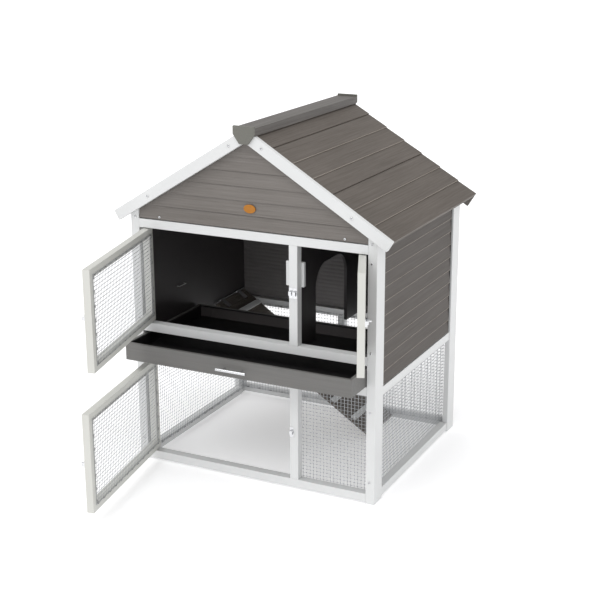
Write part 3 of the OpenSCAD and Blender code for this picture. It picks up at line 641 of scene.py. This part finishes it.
def staple_rows(low, high, spacing, inset):
    """Points round a rectangle, inset from its edge, and the direction of the edge at each point."""
    rows = []
    for axis in (0, 1):
        run = np.arange(low[axis] + 2.2 * inset, high[axis] - 2.2 * inset, spacing)
        run = run + (high[axis] - 2.2 * inset - run[-1]) / 2
        for side in (low[1 - axis] + inset, high[1 - axis] - inset):
            places = np.full((len(run), 2), side)
            places[:, axis] = run
            rows.append((places, np.full(len(run), axis)))
    return np.concatenate([row[0] for row in rows]), np.concatenate([row[1] for row in rows])


def staple_bars(places, runs, plane, out):
    """Bars in the wall's two directions: the crown lies across the wire of its edge at height plane."""
    half = np.where(runs[:, None] == np.array([[0, 1]]), STAPLE["long"] / 2, STAPLE["wide"] / 2)
    base = np.sort([plane, plane + out * STAPLE["tall"]])
    low_flat = np.concatenate([places - half, np.full((len(places), 1), base[0])], 1)
    high_flat = np.concatenate([places + half, np.full((len(places), 1), base[1])], 1)
    return low_flat, high_flat


def wall_staples(name, mesh_node, normal_axis, out, rear_post=None):
    """Staples on a fixed mesh. out is +1 or -1: the side of the mesh that faces away from the wood.

    Where a rear post is named, the mesh passes it, so the rows stop there and none runs up the end."""
    low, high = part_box(mesh_node)
    if rear_post:
        high.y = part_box(rear_post)[0].y
    flat_axes = [k for k in range(3) if k != normal_axis]
    places, runs = staple_rows([low[k] for k in flat_axes], [high[k] for k in flat_axes], 52 * mm,
                               STAPLE_INSET)
    if rear_post:
        kept = (runs == 0) | (places[:, 0] < high.y - 20 * mm)
        places, runs = places[kept], runs[kept]
    plane = high[normal_axis] if out > 0 else low[normal_axis]
    low_flat, high_flat = staple_bars(places, runs, plane, out)
    order = np.argsort(flat_axes + [normal_axis])
    points, faces = bars(low_flat[:, order], high_flat[:, order])
    return add_piece(name, points, faces, dull_staple, "hutch")


wall_staples("staples_left", "mesh_left", 0, 1, "post_rear_left")
wall_staples("staples_right", "mesh_right", 0, -1, "post_rear_right")
wall_staples("staples_rear", "mesh_rear", 1, -1)
wall_staples("staples_front", "mesh_front", 1, 1)


def turned(points, joint, degrees):
    """Points turned about a vertical hinge by an angle."""
    angle = math.radians(degrees)
    pivot = np.array(joint["pos_m"][:2])
    matrix = np.array([[math.cos(angle), math.sin(angle)], [-math.sin(angle), math.cos(angle)]])
    result = np.array(points, float)
    result[:, :2] = (result[:, :2] - pivot) @ matrix + pivot
    return result


def door_staples(side):
    """Staples on a mesh door, laid out with the door closed and turned back to its open place."""
    joint = joints[side + "_door_hinge"]
    closing = joint["range_deg"][1]
    closed = turned(node_points(side + "_mesh"), joint, closing)
    low, high = closed.min(0), closed.max(0)
    places, runs = staple_rows(low[[0, 2]], high[[0, 2]], 46 * mm, STAPLE_INSET)
    low_flat, high_flat = staple_bars(places, runs, high[1], 1)
    points, faces = bars(low_flat[:, [0, 2, 1]], high_flat[:, [0, 2, 1]])
    return add_piece("staples_" + side + "_door", turned(points, joint, -closing), faces, dull_staple,
                     side + "_door")


door_staples("upper_left")
door_staples("lower_left")
print("staple crowns:", {name: round(size * 1000, 1) for name, size in STAPLE.items()}, "mm")

# %% [markdown]
# ## The pan's hem and corners
#
# The pan is one sheet, cut and folded up. Its top edge is rolled into a hem so that it doesn't cut,
# and at each corner a flap of the short wall is folded over the long one. The hem is a round bar of
# twelve sides along each wall, and a flap is a thin plate that lies on the wall. A smoother sheet
# stands against the back wall.

# %% Hem and flaps
pan_low, pan_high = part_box("tray_pan")
HEM = 2.2 * mm
SHEET = 0.8 * mm
PAN_WALL = 3 * mm
FLAP = 46 * mm
circle = np.linspace(0, 2 * math.pi, 12, endpoint=False)
hem_outline = HEM * np.stack([np.cos(circle), np.sin(circle)], 1)
inside_low = np.array([pan_low.x, pan_low.y, pan_low.z + 0.5 * mm]) + PAN_WALL
inside_high = np.array([pan_high.x - PAN_WALL, pan_high.y - PAN_WALL, pan_high.z - 2.5 * mm])


def hem(name, axis, start, end, across, height):
    """Round bar along one wall of the pan, centred at (across, height)."""
    points, faces = swept(hem_outline + [across, height], axis, start, end)
    return add_piece(name, points, faces, pan_steel, "tray", smooth=True)


hem_z = pan_high.z - 0.2 * mm
for end, y in (("front", pan_low.y + 1.5 * mm), ("back", pan_high.y - 1.5 * mm)):
    hem("pan_hem_" + end, 0, pan_low.x + HEM, pan_high.x - HEM, y, hem_z)
for end, x in (("left", pan_low.x + 1.5 * mm), ("right", pan_high.x - 1.5 * mm)):
    hem("pan_hem_" + end, 1, pan_low.y + HEM, pan_high.y - HEM, x, hem_z)

back_low = [inside_low[0], inside_high[1] - SHEET, inside_low[2]]
back_points, back_faces = bars([back_low], [inside_high])
add_piece("pan_back_sheet", back_points, back_faces, folded_wall, "tray")

flap_low, flap_high = [], []
for side in (-1, 1):
    corner_x = pan_low.x + PAN_WALL if side < 0 else pan_high.x - PAN_WALL
    for y_wall, out in ((pan_high.y - PAN_WALL, -1), (pan_low.y + PAN_WALL, 1)):
        xs = sorted([corner_x, corner_x - side * FLAP])
        ys = sorted([y_wall + out * SHEET, y_wall + out * (SHEET + 1.2 * mm)])
        flap_low.append([xs[0], ys[0], pan_low.z + PAN_WALL + 1 * mm])
        flap_high.append([xs[1], ys[1], pan_high.z - 4 * mm])
flap_points, flap_faces = bars(flap_low, flap_high)
flaps = add_piece("pan_corner_flaps", flap_points, flap_faces, folded_wall, "tray")
flap_bevel = flaps.modifiers.new("soft_edges", "BEVEL")
flap_bevel.width = 0.4 * mm
flap_bevel.segments = 2
print("pan inside:", np.round(inside_high - inside_low, 3))

# %% [markdown]
# ## Screw heads
#
# The CAD model has a flat disc where each screw goes in. A real head is a low dome with a cross
# recess in the middle, dark with shade. The dome is a profile turned about the screw's axis: a quarter
# of an ellipse, 4.5 mm in radius and 1.6 mm high, repeated at every screw. The cross is two thin bars
# on top, in grey-black as painted shade for the recess.

# %% Domes and crosses
HEAD_R = 4.5 * mm
HEAD_H = 1.6 * mm
RINGS = 5
TURNS = 24


def screw_places():
    """The middle of each screw disc's front, one row each, found by grouping its nearby points."""
    points = node_points("frame_screws")
    places = []
    while len(points):
        near = np.linalg.norm(points - points[0], axis=1) < 12 * mm
        low, high = points[near].min(0), points[near].max(0)
        places.append([(low[0] + high[0]) / 2, low[1], (low[2] + high[2]) / 2])
        points = points[~near]
    return np.array(places)


def dome_heads(places):
    """Domes at all places: radius = R * cos(t), height = H * sin(t), turned through 24 steps."""
    t = np.linspace(0, math.pi / 2, RINGS + 1)[:-1]
    turn_steps = np.linspace(0, 2 * math.pi, TURNS, endpoint=False)
    radius = HEAD_R * np.cos(t)[:, None]
    rings = np.stack([radius * np.cos(turn_steps), -HEAD_H * np.sin(t)[:, None] + 0 * turn_steps,
                      radius * np.sin(turn_steps)], -1).reshape(-1, 3)
    dome = np.concatenate([rings, [[0, -HEAD_H, 0]]])
    index = np.arange(len(rings)).reshape(RINGS, TURNS)
    after = np.roll(index, -1, 1)
    quads = np.stack([index[:-1], after[:-1], after[1:], index[1:]], -1).reshape(-1, 4)
    tips = np.stack([index[-1], after[-1], np.full(TURNS, len(rings))], -1)
    points = (places[:, None] + dome[None]).reshape(-1, 3)
    offsets = len(dome) * np.arange(len(places))[:, None, None]
    sides = (quads[None] + offsets).reshape(-1, 4)
    crowns = (tips[None] + offsets).reshape(-1, 3)
    return points, sides.tolist() + crowns.tolist()


screws = screw_places()
dome_points, dome_faces = dome_heads(screws)
add_piece("screw_domes", dome_points, dome_faces, plated, "hutch", smooth=True)
tip = screws + [0, -HEAD_H, 0]
long_arm = np.array([2.2, 0.15, 0.5]) * mm
tall_arm = np.array([0.5, 0.15, 2.2]) * mm
cross_low = np.concatenate([tip - long_arm, tip - tall_arm])
cross_high = np.concatenate([tip + long_arm, tip + tall_arm])
cross_points, cross_faces = bars(cross_low, cross_high)
# The crosses are painted shade for the recess in each head.
add_piece("screw_recess_painted_shade", cross_points, cross_faces, painted_shade, "hutch")
print("screws:", len(screws))

# %% [markdown]
# ## Floor
#
# The floor is a plain pale sheet far larger than the view. It isn't part of the hutch.

# %% Pale floor
floor_half = 40.0    # metres
floor_mesh = bpy.data.meshes.new("floor")
floor_mesh.from_pydata([(-floor_half, -floor_half, 0), (floor_half, -floor_half, 0),
                        (floor_half, floor_half, 0), (-floor_half, floor_half, 0)], [], [(0, 1, 2, 3)])
floor_material, floor_shader = new_material("pale_floor", 0.9)[:2]
floor_shader.inputs["Base Color"].default_value = linear("#f7f7f8")
floor_shader.inputs["Specular IOR Level"].default_value = 0.1
floor_shader.inputs["Emission Color"].default_value = linear("#ffffff")
floor_shader.inputs["Emission Strength"].default_value = FLOOR_GLOW
floor_mesh.materials.append(floor_material)
floor = bpy.data.objects.new("floor", floor_mesh)
bpy.context.scene.collection.objects.link(floor)
print("floor:", 2 * floor_half, "m square")

# %% [markdown]
# ## Finish
#
# The last step updates the scene.

# %% Update the scene
bpy.context.view_layer.update()
